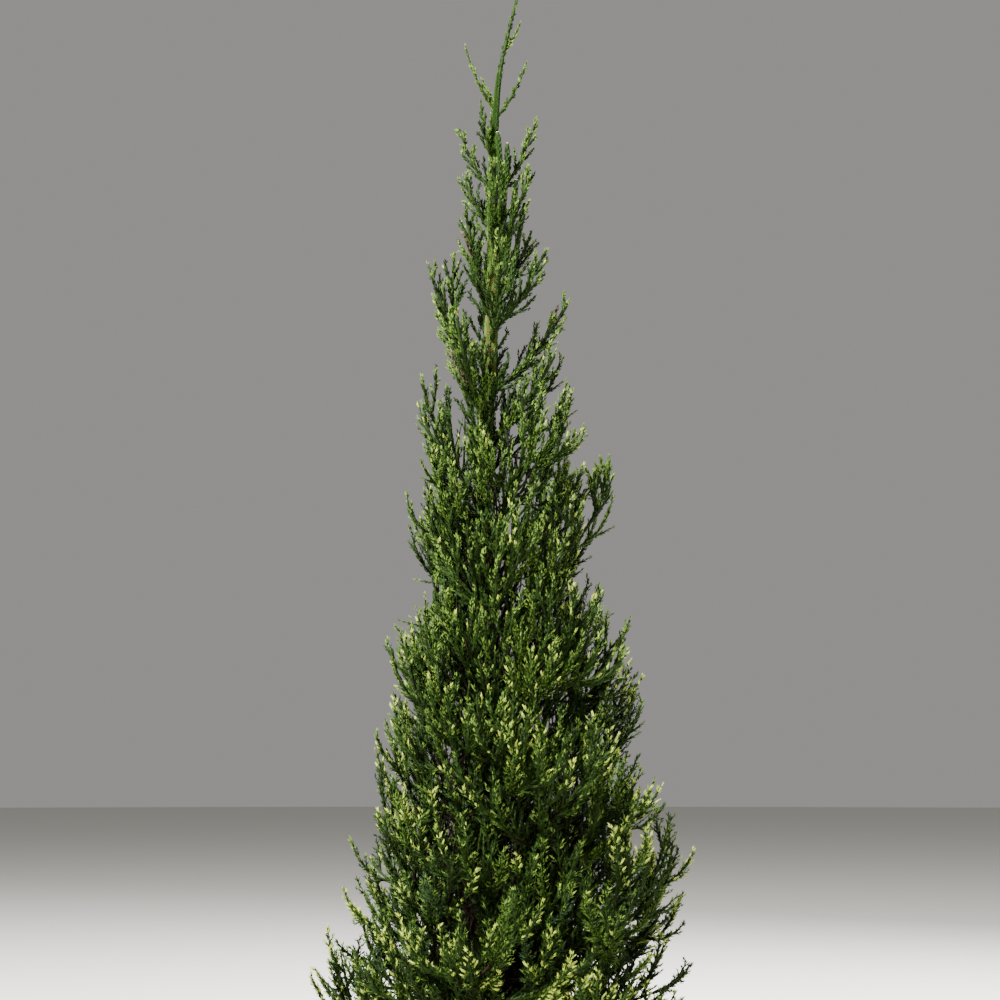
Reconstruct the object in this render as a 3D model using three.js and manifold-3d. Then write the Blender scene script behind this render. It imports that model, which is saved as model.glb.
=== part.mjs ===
// A young japanese cedar, 2.2 m tall: a straight trunk, ascending boughs and plumes of needled shoots.
// Millimetres and degrees, +Z up. The origin is in the middle of the flat cut under the trunk. The photograph
// looks along +Y, so azimuth 0 is its right, 180 its left, and 270 points at the viewer.

import * as THREE from "three";
import { mergeVertices } from "three/addons/utils/BufferGeometryUtils.js";
import Module from "manifold-3d";

const wasm = await Module();
wasm.setup();

// The whole tree. Stations are [height above the cut, value], and a smooth line joins them
const treeHeight = 2200;
const trunkTop = 2040;
const trunkSwayX = [
  [0, 0], [600, -8], [1000, -22], [1310, -29], [1630, -14], [1900, -12], [2080, 2], [2200, 34],
];
const trunkSwayY = [[0, 0], [500, 8], [1100, -6], [1700, 5], [2200, -6]];
const trunkRadius = [
  [0, 27], [45, 24], [130, 22], [600, 18.5], [1100, 14], [1500, 10.8], [1850, 7.2], [2040, 4.2],
];
const crownRadius = [
  [0, 60], [60, 180], [150, 290], [250, 330], [373, 334], [553, 316], [733, 275], [805, 250], [913, 230],
  [1030, 236], [1090, 186], [1200, 168], [1330, 164], [1400, 150], [1525, 130], [1640, 130], [1710, 108],
  [1800, 78], [1980, 76], [2090, 50], [2200, 40],
];
const fullerRight = [
  [0, 0], [373, 0.02], [589, 0.12], [733, 0.2], [913, 0.17], [1100, 0.14], [1310, 0.2], [1450, 0.14],
  [1640, 0.08], [2200, 0.05],
];
// Between two tiers on the left the crown draws in to a waist, and a stem that runs out into it ends there
const waist = { height: 1095, tall: 55, azimuth: 184, wide: 52, depth: 0.5, edge: 0.95, slack: 1.05 };
const stemCut = { least: 132, steps: 20 };

const clearance = 0.3;
const goldenAngle = 137.5;

// Root flare: low buttresses that die away up the trunk
const flare = { lobes: 5, depth: 0.22, height: 110 };

// The leader carries the trunk on to the top
const leader = { foot: 2020, radius: 3.6, bend: 7 };

// The shoots of the open spire spring straight from the trunk: [height of foot, azimuth, reach, rise]
const spireShoots = [
  [1984, 190, 54, 110], [1970, 350, 57, 96], [1900, 95, 42, 104], [1885, 222, 32, 114], [1831, 176, 62, 122],
  [1813, 12, 84, 166], [1759, 160, 58, 113], [1740, 275, 62, 140], [1705, 330, 78, 162], [1690, 75, 72, 160],
  [1640, 128, 82, 170], [1632, 32, 84, 134], [1588, 205, 50, 198], [1570, 348, 98, 144], [1545, 284, 92, 180],
  [1500, 85, 102, 195], [1462, 186, 110, 238], [1453, 2, 148, 176], [1430, 135, 114, 190],
  [1400, 245, 124, 185], [1363, 330, 150, 162],
];
const shootThickness = 0.42;

// The dense crown below the spire: limbs closer together low down, each turned by the golden angle. The lower
// ones have a bough of their own, the others spring from the trunk, and one reaches past the outline
const limbs = { count: 28, withBough: 9, lowest: 78, highest: 1300, crowding: 1.35, firstAzimuth: 32 };
const limbRise = [[78, 140], [260, 235], [450, 310], [700, 335], [1000, 290], [1300, 215]];
const longLimb = { number: 5, factor: 1.14 };
const bough = { bareShare: 0.27, thickness: 0.36, taper: 0.72 };

// How a limb bends: its knee, as shares of its reach and of its rise
const knee = { out: 0.6, up: 0.34 };

// A dense mass forks left and right in turn, to several heights near the crown's outline. A fork that would
// come near another mass's stem is left out
const fork = {
  first: 0.02, apart: 0.095, widest: 58, narrowing: 8, lowestRise: 0.14, riseApart: 0.21, sag: 0.14,
  thickness: 0.7, room: 38,
};
const forkCount = [[78, 6], [800, 5], [1300, 3]];

// Twigs stand round their stem, and some of their places carry a spray, which stands for all of them
const twig = { outlineSlack: 1.06, lowest: 25 };
const twigSize = [[0, 1], [1850, 1], [1990, 0.5], [2200, 0.35]];
const kinds = {
  open: {
    spacing: 10, angle: 28, lift: 0.3, innerLift: 0, longest: 80, basic: 30, shareOfStem: 0.32, tipLength: 70,
  },
  dense: {
    spacing: 14, angle: 36, lift: 0.6, innerLift: 0.6, longest: 165, basic: 60, shareOfStem: 0.45,
    tipLength: 120,
  },
};
const spray = { crownAt: 0.5, notchAt: 0.42, secondAt: 0.8, wide: 0.24, notch: 0.1, narrow: 0.13, twist: 60 };
const core = {
  at: 0.8, roomFrom: 0.4, rodFrom: 0.2, widest: 24, shareOfStem: 0.09, shareOfRoom: 0.48, slimShare: 0.6,
};
const closeness = 1.1;

// How far limbs, forks and twigs differ from each other, as [least, most]
const range = {
  rise: [0.94, 1.06], reach: [0.93, 1.03], forkRise: [0, 0.12], forkReach: [0.88, 1], twigLength: [0.8, 1.2],
  twigAngle: [-5, 5],
};

// A twig's length by its place on the stem: short at the foot, longest soon after it, short again at the tip
const plume = { foot: 0.6, widening: 2, end: 1.06 };

// The straight rods that stand for a bend when room is measured: [start, end, radius], as shares of it
const slimStem = 3;
const stemRods = [[0.03, 0.35, slimStem], [0.35, 0.7, slimStem], [0.7, 1, slimStem]];
const sprayRods = [[0.05, 0.3, 0.6], [0.3, 0.7, 1], [0.7, 1, 0.6]];
const outerRuns = [[0.3, 0.55], [0.55, 0.8], [0.8, 1]];

const radians = THREE.MathUtils.degToRad;
const up = new THREE.Vector3(0, 0, 1);

// The value at a height, on the smooth line through the stations
function valueAt(stations, height) {
  let i = 0;
  while (i < stations.length - 2 && height > stations[i + 1][0]) i++;
  const [before, from, to, after] = [i - 1, i, i + 1, i + 2].map(
    (n) => stations[THREE.MathUtils.clamp(n, 0, stations.length - 1)],
  );
  const span = to[0] - from[0];
  const u = THREE.MathUtils.clamp((height - from[0]) / span, 0, 1);
  const slopeFrom = ((to[1] - before[1]) / (to[0] - before[0])) * span;
  const slopeTo = ((after[1] - from[1]) / (after[0] - from[0])) * span;
  const rest = 1 - u;
  return (1 + 2 * u) * rest * rest * from[1] + u * rest * rest * slopeFrom
    + u * u * (3 - 2 * u) * to[1] - u * u * rest * slopeTo;
}

// A repeatable number from 0 to 1, drawn from the whole numbers that say what it is for
function dice(...keys) {
  let hash = 2166136261;
  for (const key of keys) {
    hash = Math.imul(hash ^ key, 16777619);
    hash ^= hash >>> 15;
    hash = Math.imul(hash, 2246822519);
    hash ^= hash >>> 13;
  }
  return (hash >>> 0) / 4294967296;
}

function between([least, most], ...keys) {
  return THREE.MathUtils.lerp(least, most, dice(...keys));
}

// The crown's outline, as a distance from the trunk's middle
function outlineAt(height, azimuth) {
  return valueAt(crownRadius, height) * (1 + valueAt(fullerRight, height) * Math.cos(radians(azimuth)));
}

function trunkPoint(height) {
  return new THREE.Vector3(valueAt(trunkSwayX, height), valueAt(trunkSwayY, height), height);
}

function outwards(azimuth) {
  return new THREE.Vector3(Math.cos(radians(azimuth)), Math.sin(radians(azimuth)), 0);
}

function azimuthOf(spot) {
  const out = spot.clone().sub(trunkPoint(spot.z));
  return THREE.MathUtils.radToDeg(Math.atan2(out.y, out.x));
}

// How far out a spot is: 0 at the trunk, 1 on the crown's outline
function howFarOut(spot) {
  const out = spot.clone().sub(trunkPoint(spot.z));
  return Math.hypot(out.x, out.y) / outlineAt(spot.z, azimuthOf(spot));
}

// The part of the outline that foliage reaches at a spot: less in the waist
function reachAt(spot) {
  const turned = THREE.MathUtils.euclideanModulo(azimuthOf(spot) - waist.azimuth + 180, 360) - 180;
  const away = ((spot.z - waist.height) / waist.tall) ** 2 + (turned / waist.wide) ** 2;
  return 1 - waist.depth * Math.exp(-away);
}

// A limb's line from the middle of the trunk: flatter at its foot, then rising to its tip
function limbLine(height, azimuth, reach, rise) {
  const foot = trunkPoint(height);
  const out = outwards(azimuth);
  const bend = foot.clone().addScaledVector(out, knee.out * reach).addScaledVector(up, knee.up * rise);
  const tip = foot.clone().addScaledVector(out, reach).addScaledVector(up, rise);
  return new THREE.QuadraticBezierCurve3(foot, bend, tip);
}

// The part of a line from one share of it to another
function partOfLine(line, from, to) {
  const start = line.getPoint(from);
  const bend = start.clone().addScaledVector(line.v1.clone().sub(line.v0), (1 - from) * (to - from))
    .addScaledVector(line.v2.clone().sub(line.v1), from * (to - from));
  return new THREE.QuadraticBezierCurve3(start, bend, line.getPoint(to));
}

// Three directions at a share of a line: along it, level across it, and square to both
function frameOn(line, share) {
  const run = line.v2.clone().sub(line.v0);
  const level = new THREE.Vector3().crossVectors(run, up);
  const along = line.getTangent(THREE.MathUtils.clamp(share, 0, 1));
  const across = level.addScaledVector(along, -level.dot(along)).normalize();
  return { along, across, side: new THREE.Vector3().crossVectors(across, along) };
}

function solidFrom(geometry) {
  geometry.deleteAttribute("normal");
  geometry.deleteAttribute("uv");
  const merged = mergeVertices(geometry, 1e-4);
  return new wasm.Manifold(new wasm.Mesh({
    numProp: 3,
    vertProperties: merged.attributes.position.array,
    triVerts: new Uint32Array(merged.index.array),
  }));
}

function geometryFrom(solid) {
  const mesh = solid.getMesh();
  const geometry = new THREE.BufferGeometry();
  geometry.setAttribute("position", new THREE.BufferAttribute(mesh.vertProperties, 3));
  geometry.setIndex(new THREE.BufferAttribute(mesh.triVerts, 1));
  geometry.computeVertexNormals();
  return geometry;
}

// A lathe of [share of the line, radius] rings, bent to the line and turned evenly along it
function bentLathe(line, rings, sides, twist = 0, start = 0) {
  const profile = rings.map(([share, radius]) => new THREE.Vector2(radius, share));
  const lathe = new THREE.LatheGeometry(profile, sides);
  const spots = lathe.attributes.position;
  for (let i = 0; i < spots.count; i++) {
    const share = spots.getY(i);
    const { across, side } = frameOn(line, share);
    const turn = radians(start + twist * share);
    const flat = new THREE.Vector2(spots.getX(i), spots.getZ(i)).rotateAround(new THREE.Vector2(), turn);
    const spot = line.getPoint(share).addScaledVector(across, flat.x).addScaledVector(side, flat.y);
    spots.setXYZ(i, spot.x, spot.y, spot.z);
  }
  return solidFrom(lathe);
}

// The trunk: level rings from the flat cut to its top, lobed where the roots flare. Grown by a clearance it
// cuts what springs from it
function trunkSolid(extra = 0) {
  const sides = 10;
  const levels = [0, 25, 60, 130, 330, 600, 850, 1100, 1310, 1500, 1680, 1850, 1960, trunkTop];
  const rings = levels.map((z) => new THREE.Vector2(valueAt(trunkRadius, z) + extra, z));
  rings.at(-1).y += extra;
  const profile = [new THREE.Vector2(0, 0), ...rings, new THREE.Vector2(0, trunkTop + extra)];
  const lathe = new THREE.LatheGeometry(profile, sides).rotateX(Math.PI / 2);
  const spots = lathe.attributes.position;
  for (let i = 0; i < spots.count; i++) {
    const [x, y, z] = [spots.getX(i), spots.getY(i), Math.max(0, spots.getZ(i))];
    const fade = Math.max(0, 1 - z / flare.height) ** 2;
    const lobe = 1 + flare.depth * fade * (1 + Math.cos(flare.lobes * Math.atan2(y, x)));
    spots.setXYZ(i, x * lobe + valueAt(trunkSwayX, z), y * lobe + valueAt(trunkSwayY, z), z);
  }
  return solidFrom(lathe);
}

// One tapering bough, cut clear of the trunk that it springs from
function boughSolid(limb) {
  const middle = (limb.radius + limb.endRadius) / 2;
  const rings = [[0, 0], [0, limb.radius], [0.5, middle], [1, limb.endRadius], [1, 0]];
  return bentLathe(limb.line, rings, 6).subtract(trunkSolid(clearance));
}

function addStem(mass, line) {
  const number = mass.stems.length;
  mass.stems.push({ line, number, length: line.getLength(), turn: 360 * dice(mass.number, 3, number) });
}

function openMass(name, number, line, radius) {
  const mass = { name, number, radius, kind: kinds.open, stretch: 1, isOnTrunk: true, stems: [] };
  addStem(mass, line);
  return mass;
}

function leaderMass() {
  const foot = trunkPoint(leader.foot);
  const tip = trunkPoint(treeHeight);
  const middle = foot.clone().lerp(tip, 0.5);
  middle.x -= leader.bend;
  return openMass("foliage_leader", 0, new THREE.QuadraticBezierCurve3(foot, middle, tip), leader.radius);
}

// One limb of the dense crown, with the first stem of the mass that it bears
function denseMass(i) {
  const upward = (1 - i / (limbs.count - 1)) ** limbs.crowding;
  const height = THREE.MathUtils.lerp(limbs.lowest, limbs.highest, upward);
  const azimuth = limbs.firstAzimuth + goldenAngle * i;
  const rise = valueAt(limbRise, height) * between(range.rise, i, 11);
  const stretch = i === longLimb.number ? longLimb.factor : 1;
  const reach = stretch * between(range.reach, i, 12) * outlineAt(height + rise, azimuth);
  const whole = limbLine(height, azimuth, reach, rise);
  const radius = bough.thickness * valueAt(trunkRadius, height);
  const isOnTrunk = i < limbs.count - limbs.withBough;
  const mass = {
    name: `foliage_${i + 1}`, number: 100 + i, radius, kind: kinds.dense, stretch, isOnTrunk, stems: [],
    limb: { i, whole, height, azimuth, rise, forks: Math.round(valueAt(forkCount, height)) },
  };
  let start = 0;
  if (!isOnTrunk) {
    const line = partOfLine(whole, 0, bough.bareShare);
    mass.radius = radius * bough.taper;
    mass.bough = { name: `bough_${i + 1}`, line, radius, endRadius: mass.radius };
    start = bough.bareShare + clearance / whole.getLength();
  }
  addStem(mass, partOfLine(whole, start, 1));
  return mass;
}

// The line of a limb's fork, bent down at its middle
function forkLine({ i, whole, height, azimuth, rise }, k) {
  const foot = whole.getPoint(bough.bareShare + fork.first + fork.apart * k);
  const turn = ((k + i) % 2 ? 1 : -1) * (fork.widest - fork.narrowing * k);
  const riseShare = fork.lowestRise + fork.riseApart * k + between(range.forkRise, i, 13, k);
  const tipHeight = height + rise * riseShare;
  const tipReach = between(range.forkReach, i, 14, k) * outlineAt(tipHeight, azimuth + turn);
  const tip = trunkPoint(tipHeight).addScaledVector(outwards(azimuth + turn), tipReach);
  const middle = foot.clone().lerp(tip, 0.5).addScaledVector(up, -fork.sag * foot.distanceTo(tip));
  return new THREE.QuadraticBezierCurve3(foot, middle, tip);
}

// The masses take turns, fork by fork
function addForks(dense) {
  const most = Math.max(...dense.map(({ limb }) => limb.forks));
  for (let k = 0; k < most; k++) {
    for (const mass of dense.filter(({ limb }) => k < limb.forks)) {
      const line = forkLine(mass.limb, k);
      const others = dense.filter((other) => other !== mass).flatMap((other) => other.stems);
      if (others.every((stem) => lineGap(line, stem.line) > fork.room)) addStem(mass, line);
    }
  }
}

// The line of a stem, as far as the waist lets it run
function drawnIn(line) {
  const least = Math.min(1, stemCut.least / line.getLength());
  for (let i = 0; i < stemCut.steps; i++) {
    const share = THREE.MathUtils.lerp(least, 1, i / stemCut.steps);
    const spot = line.getPoint(share);
    const reach = reachAt(spot);
    if (reach < waist.edge && howFarOut(spot) > waist.slack * reach) return partOfLine(line, 0, share);
  }
  return line;
}

// Every stem of the tree is laid out before anything is given a thickness
function planMasses() {
  const spire = spireShoots.map(([height, azimuth, reach, rise], i) =>
    openMass(`foliage_spire_${i + 1}`, i + 1, limbLine(height, azimuth, reach, rise),
      shootThickness * valueAt(trunkRadius, height)));
  const dense = Array.from({ length: limbs.count }, (_, i) => denseMass(i));
  addForks(dense);
  for (const stem of dense.flatMap(({ stems }) => stems)) {
    stem.line = drawnIn(stem.line);
    stem.length = stem.line.getLength();
  }
  return [leaderMass(), ...spire, ...dense];
}

// What is already taken in the crown: straight rods, each with the mass or limb that owns it
const taken = [];

function take(owner, rods, isSpray = false) {
  for (const rod of rods) taken.push({ owner, isSpray, ...rod });
}

// The rods along a line, from [share, share, radius] stretches of it
function rodsOn(line, stretches) {
  return stretches.map(([start, end, radius]) =>
    ({ from: line.getPoint(start), to: line.getPoint(end), radius }));
}

// The shortest way between two straight runs
function runGap(a, b, c, d) {
  const ab = b.clone().sub(a);
  const cd = d.clone().sub(c);
  const ac = c.clone().sub(a);
  const [aa, cc, mixed] = [ab.lengthSq(), cd.lengthSq(), ab.dot(cd)];
  const flat = aa * cc - mixed * mixed;
  let u = flat > 1e-6 ? THREE.MathUtils.clamp((ac.dot(ab) * cc - ac.dot(cd) * mixed) / flat, 0, 1) : 0;
  const v = THREE.MathUtils.clamp((u * mixed - ac.dot(cd)) / cc, 0, 1);
  u = THREE.MathUtils.clamp((v * mixed + ac.dot(ab)) / aa, 0, 1);
  return a.clone().addScaledVector(ab, u).distanceTo(c.clone().addScaledVector(cd, v));
}

// The shortest way between the outer parts of two stems
function lineGap(line, other) {
  const [mine, theirs] = [line, other].map((bend) =>
    outerRuns.map(([start, end]) => [bend.getPoint(start), bend.getPoint(end)]));
  return Math.min(...mine.flatMap(([a, b]) => theirs.map(([c, d]) => runGap(a, b, c, d))));
}

// True if the rods stay clear of all that other masses and limbs own, and stand apart from their own sprays
function areFree(owner, rods) {
  return taken.every((other) => rods.every((rod) => {
    if (other.owner === owner && !other.isSpray) return true;
    const touching = rod.radius + other.radius;
    const needed = other.owner === owner ? closeness * touching : touching + clearance;
    return runGap(rod.from, rod.to, other.from, other.to) > needed;
  }));
}

// The room along a stretch of a line before the next mass or limb
function roomAlong(owner, line, from, to) {
  const [rod] = rodsOn(line, [[from, to, 0]]);
  const others = taken.filter((other) => other.owner !== owner);
  return Math.min(...others.map((other) => runGap(rod.from, rod.to, other.from, other.to) - other.radius));
}

// How far a stem swells, to a core in a dense mass, and how wide its tip is, as its neighbours leave room
function sizeStem(mass, stem) {
  const { tipLength } = mass.kind;
  stem.tipFrom = 1 - tipLength / stem.length;
  const tipRoom = core.shareOfRoom * roomAlong(mass.name, stem.line, stem.tipFrom, 1);
  stem.crown = Math.min(spray.wide * tipLength, tipRoom);
  stem.middle = core.slimShare * mass.radius;
  if (mass.kind === kinds.open) return;
  const room = core.shareOfRoom * roomAlong(mass.name, stem.line, core.roomFrom * stem.tipFrom, stem.tipFrom);
  stem.middle = Math.max(stem.middle, Math.min(core.widest, core.shareOfStem * stem.length, room));
}

// A stem swells towards its middle and ends in two crowns of needle points
function stemSolid(mass, stem) {
  const foot = stem.number ? mass.radius * fork.thickness : mass.radius;
  const at = (share) => THREE.MathUtils.lerp(stem.tipFrom, 1, share);
  const size = stem.crown / spray.wide;
  const rings = [
    [0, 0], [0, foot], [core.at * stem.tipFrom, stem.middle], [at(spray.crownAt), stem.crown],
    [at(spray.notchAt), spray.notch * size], [at(spray.secondAt), spray.narrow * size], [1, 0],
  ];
  return bentLathe(stem.line, rings, 3, spray.twist, stem.turn);
}

// A spray: from its root it widens to a crown of three needle points, and narrows from a notch to its tip
function spraySolid(line, length, turn) {
  const rings = [[0, 0], [spray.crownAt, spray.wide * length], [spray.notchAt, spray.notch * length], [1, 0]];
  return bentLathe(line, rings, 3, spray.twist, turn);
}

function placesOn(mass, stem) {
  return Math.max(3, Math.round(stem.length / mass.kind.spacing));
}

// The line of a twig at a place on its stem. It leaves at an angle and lifts towards the light
function twigLine(mass, stem, place) {
  const { kind } = mass;
  const share = (place + 0.5) / placesOn(mass, stem);
  const { along, across, side } = frameOn(stem.line, share);
  const round = radians(place * goldenAngle + stem.turn);
  const outward = across.multiplyScalar(Math.cos(round)).addScaledVector(side, Math.sin(round));
  const angle = radians(kind.angle + between(range.twigAngle, mass.number, stem.number, place, 1));
  const leave = along.multiplyScalar(Math.cos(angle)).addScaledVector(outward, Math.sin(angle));
  const fullness = Math.min(1, plume.foot + plume.widening * share) * Math.sqrt(plume.end - share);
  const longest = Math.min(kind.longest, kind.basic + kind.shareOfStem * stem.length);
  const foot = stem.line.getPoint(share);
  const length = longest * fullness * valueAt(twigSize, foot.z)
    * between(range.twigLength, mass.number, stem.number, place, 2);
  const lifted = leave.clone().addScaledVector(up, kind.lift + kind.innerLift * (1 - share)).normalize();
  const middle = foot.clone().addScaledVector(leave, 0.5 * length);
  return new THREE.QuadraticBezierCurve3(foot, middle, foot.clone().addScaledVector(lifted, length));
}

// The masses take turns, spray by spray from the tips of their stems, so that none crowds out its neighbour
function growSprays(masses) {
  const jobs = masses.flatMap((mass) => mass.stems.map((stem) => ({ mass, stem })));
  const most = Math.max(...jobs.map(({ mass, stem }) => placesOn(mass, stem)));
  for (let turn = 1; turn < most; turn++) {
    for (const { mass, stem } of jobs) {
      const place = placesOn(mass, stem) - 1 - turn;
      if (place > 0) addSpray(mass, stem, place);
    }
  }
}

// Fuses a spray on unless it would leave the crown's outline or touch what another mass or limb holds
function addSpray(mass, stem, place) {
  const line = twigLine(mass, stem, place);
  const tip = line.v2;
  const length = line.v0.distanceTo(tip);
  const thick = spray.wide * length;
  const rods = rodsOn(line, sprayRods.map(([start, end, share]) => [start, end, share * thick]));
  const isInside = howFarOut(tip) < twig.outlineSlack * mass.stretch * reachAt(tip)
    && Math.min(line.v0.z, line.v1.z, tip.z) - thick > twig.lowest;
  if (!isInside || !areFree(mass.name, rods)) return;
  take(mass.name, rods, true);
  mass.parts.push(spraySolid(line, length, 120 * dice(mass.number, stem.number, place, 5)));
}

const barkBrown = new THREE.MeshStandardMaterial({ color: 0x6b4a36, roughness: 0.92, metalness: 0 });
const boughBrown = new THREE.MeshStandardMaterial({ color: 0x5d4a2e, roughness: 0.9, metalness: 0 });
const needleGreen = new THREE.MeshStandardMaterial({ color: 0x3c5e22, roughness: 0.62, metalness: 0 });

// The outermost shell only: a hollow that fusing sealed is filled, and a loose scrap is dropped
function wholeOf(solid) {
  return solid.decompose().reduce((most, body) => (body.volume() > most.volume() ? body : most));
}

function named(name, solid, material) {
  const mesh = new THREE.Mesh(geometryFrom(wholeOf(solid)), material);
  mesh.name = name;
  return mesh;
}

const masses = planMasses();
for (let i = 1; i < trunkRadius.length; i++) {
  const [from, to] = [trunkPoint(trunkRadius[i - 1][0]), trunkPoint(trunkRadius[i][0])];
  take("trunk", [{ from, to, radius: trunkRadius[i - 1][1] }]);
}
for (const { name, bough: limb, stems } of masses) {
  if (limb) take(limb.name, rodsOn(limb.line, [[0, 0.5, limb.radius], [0.5, 1, limb.radius]]));
  for (const stem of stems) take(name, rodsOn(stem.line, stemRods));
}
for (const mass of masses) {
  for (const stem of mass.stems) sizeStem(mass, stem);
}
for (const { name, stems } of masses) {
  for (const { line, middle, crown, tipFrom } of stems) {
    const tipRod = THREE.MathUtils.lerp(tipFrom, 1, core.rodFrom);
    take(name, rodsOn(line, [[core.rodFrom * tipFrom, tipFrom, middle], [tipRod, 1, crown]]));
  }
}
for (const mass of masses) mass.parts = mass.stems.map((stem) => stemSolid(mass, stem));
growSprays(masses);

const tree = new THREE.Group();
tree.name = "japanese_cedar";
tree.add(named("trunk", trunkSolid(), barkBrown));
for (const mass of masses) {
  let solid = wasm.Manifold.union(mass.parts);
  if (mass.isOnTrunk) solid = solid.subtract(trunkSolid(clearance));
  if (mass.bough) tree.add(named(mass.bough.name, boughSolid(mass.bough), boughBrown));
  tree.add(named(mass.name, solid, needleGreen));
}

export default tree;
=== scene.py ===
import math

import bmesh
import bpy
import numpy as np
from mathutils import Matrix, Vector, noise


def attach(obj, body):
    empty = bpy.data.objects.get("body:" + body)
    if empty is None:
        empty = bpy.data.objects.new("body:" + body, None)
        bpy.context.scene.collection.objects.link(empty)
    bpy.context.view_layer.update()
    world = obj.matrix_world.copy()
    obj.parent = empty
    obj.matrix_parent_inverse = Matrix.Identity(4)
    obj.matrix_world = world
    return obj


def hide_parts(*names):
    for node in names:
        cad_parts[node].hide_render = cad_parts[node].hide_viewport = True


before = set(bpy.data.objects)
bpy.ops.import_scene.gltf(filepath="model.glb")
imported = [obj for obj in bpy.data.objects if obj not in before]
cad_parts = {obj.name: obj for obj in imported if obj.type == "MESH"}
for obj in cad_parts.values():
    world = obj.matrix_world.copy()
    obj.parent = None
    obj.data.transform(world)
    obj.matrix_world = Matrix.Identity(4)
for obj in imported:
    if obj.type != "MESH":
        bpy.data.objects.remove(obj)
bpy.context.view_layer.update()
scene = bpy.context.scene
metre = 0.001
goldenAngle = 137.5
up = np.array([0, 0, 1.0])

# The whole tree, as the solids have it: [height above the cut, value]
tree = {
    "height": 2200,
    "trunkTop": 2040,
    "swayX": [[0, 0], [600, -8], [1000, -22], [1310, -29], [1630, -14], [1900, -12], [2080, 2], [2200, 34]],
    "swayY": [[0, 0], [500, 8], [1100, -6], [1700, 5], [2200, -6]],
    "radius": [[0, 27], [45, 24], [130, 22], [600, 18.5], [1100, 14], [1500, 10.8], [1850, 7.2], [2040, 4.2]],
    "crown": [
        [0, 60], [60, 180], [150, 290], [250, 330], [373, 334], [553, 316], [733, 275], [805, 250],
        [913, 230], [1030, 236], [1090, 186], [1200, 168], [1330, 164], [1400, 150], [1525, 130],
        [1640, 130], [1710, 108], [1800, 78], [1980, 76], [2090, 50], [2200, 40],
    ],
    "fullerRight": [
        [0, 0], [373, 0.02], [589, 0.12], [733, 0.2], [913, 0.17], [1100, 0.14], [1310, 0.2],
        [1450, 0.14], [1640, 0.08], [2200, 0.05],
    ],
}


# Values that change with the height, and repeatable draws
def valueAt(stations, height):  # a smooth line through the stations
    stations = np.asarray(stations, float)
    height = np.asarray(height, float)
    at, value = stations[:, 0], stations[:, 1]
    last = len(at) - 1
    i = np.clip(np.searchsorted(at, height, side="left") - 1, 0, last - 1)
    before, after = np.maximum(i - 1, 0), np.minimum(i + 2, last)
    span = at[i + 1] - at[i]
    u = np.clip((height - at[i]) / span, 0, 1)
    rest = 1 - u
    slopeFrom = (value[i + 1] - value[before]) / (at[i + 1] - at[before]) * span
    slopeTo = (value[after] - value[i]) / (at[after] - at[i]) * span
    return ((1 + 2 * u) * rest * rest * value[i] + u * rest * rest * slopeFrom
            + u * u * (3 - 2 * u) * value[i + 1] - u * u * rest * slopeTo)


mixing = {
    "start": 2166136261, "first": 16777619, "second": 2246822519, "most": 0xFFFFFFFF, "shifts": (15, 13),
}
draws = {
    "shootAngle": 1, "shootLength": 2, "stemTurn": 3, "shootTurn": 4, "isFan": 7, "fanTurn": 8,
    "limbRise": 11, "limbReach": 12, "forkHeight": 13, "forkReach": 14, "plumeRise": 15, "shade": 21,
    "needle": 31, "newShoot": 41, "newLength": 42, "newSpray": 43, "pressedFoot": 61,
    "pressedLeave": 62, "pressedLength": 63, "pressedBrown": 64, "stubNeedle": 65, "pressedGreen": 66,
}


def dice(*keys):  # repeatable numbers from 0 to 1, the same as in the solids' source
    first, second, most = [np.uint64(mixing[name]) for name in ("first", "second", "most")]
    firstShift, secondShift = [np.uint64(shift) for shift in mixing["shifts"]]
    mixed = np.uint64(mixing["start"])
    for key in keys:
        mixed = ((mixed ^ np.asarray(key).astype(np.uint64)) * first) & most
        mixed = mixed ^ (mixed >> firstShift)
        mixed = (mixed * second) & most
        mixed = mixed ^ (mixed >> secondShift)
    return mixed.astype(float) / (mixing["most"] + 1)


def between(low, high, *keys):
    return low + (high - low) * dice(*keys)


# Places in the crown, and how far out they are
def unit(vectors):
    return vectors / np.maximum(np.linalg.norm(vectors, axis=-1, keepdims=True), 1e-9)


def outlineAt(height, azimuth):
    fuller = valueAt(tree["fullerRight"], height) * np.cos(np.radians(azimuth))
    return valueAt(tree["crown"], height) * (1 + fuller)


def trunkPoint(height):
    height = np.asarray(height, float)
    return np.stack([valueAt(tree["swayX"], height), valueAt(tree["swayY"], height), height], -1)


def outwards(azimuth):
    azimuth = np.radians(azimuth)
    return np.stack([np.cos(azimuth), np.sin(azimuth), np.zeros_like(azimuth)], -1)


def fromTrunk(points):  # distance from the trunk's line, and azimuth
    away = points - trunkPoint(points[:, 2])
    return np.hypot(away[:, 0], away[:, 1]), np.degrees(np.arctan2(away[:, 1], away[:, 0]))


def howFarOut(points):  # 0 at the trunk, 1 on the crown's outline
    distance, azimuth = fromTrunk(points)
    return distance / outlineAt(points[:, 2], azimuth)


# Between two tiers on the left the crown draws in to a waist
waist = {
    "height": 1095, "tall": 55, "azimuth": 184, "wide": 52, "depth": 0.5, "edge": 0.95, "slack": 1.05,
    "leastStem": 132, "steps": 20,
}


def reachAt(points):  # the part of the outline that the foliage reaches
    turned = (fromTrunk(points)[1] - waist["azimuth"] + 180) % 360 - 180
    level = (points[:, 2] - waist["height"]) / waist["tall"]
    return 1 - waist["depth"] * np.exp(-level ** 2 - (turned / waist["wide"]) ** 2)


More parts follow.
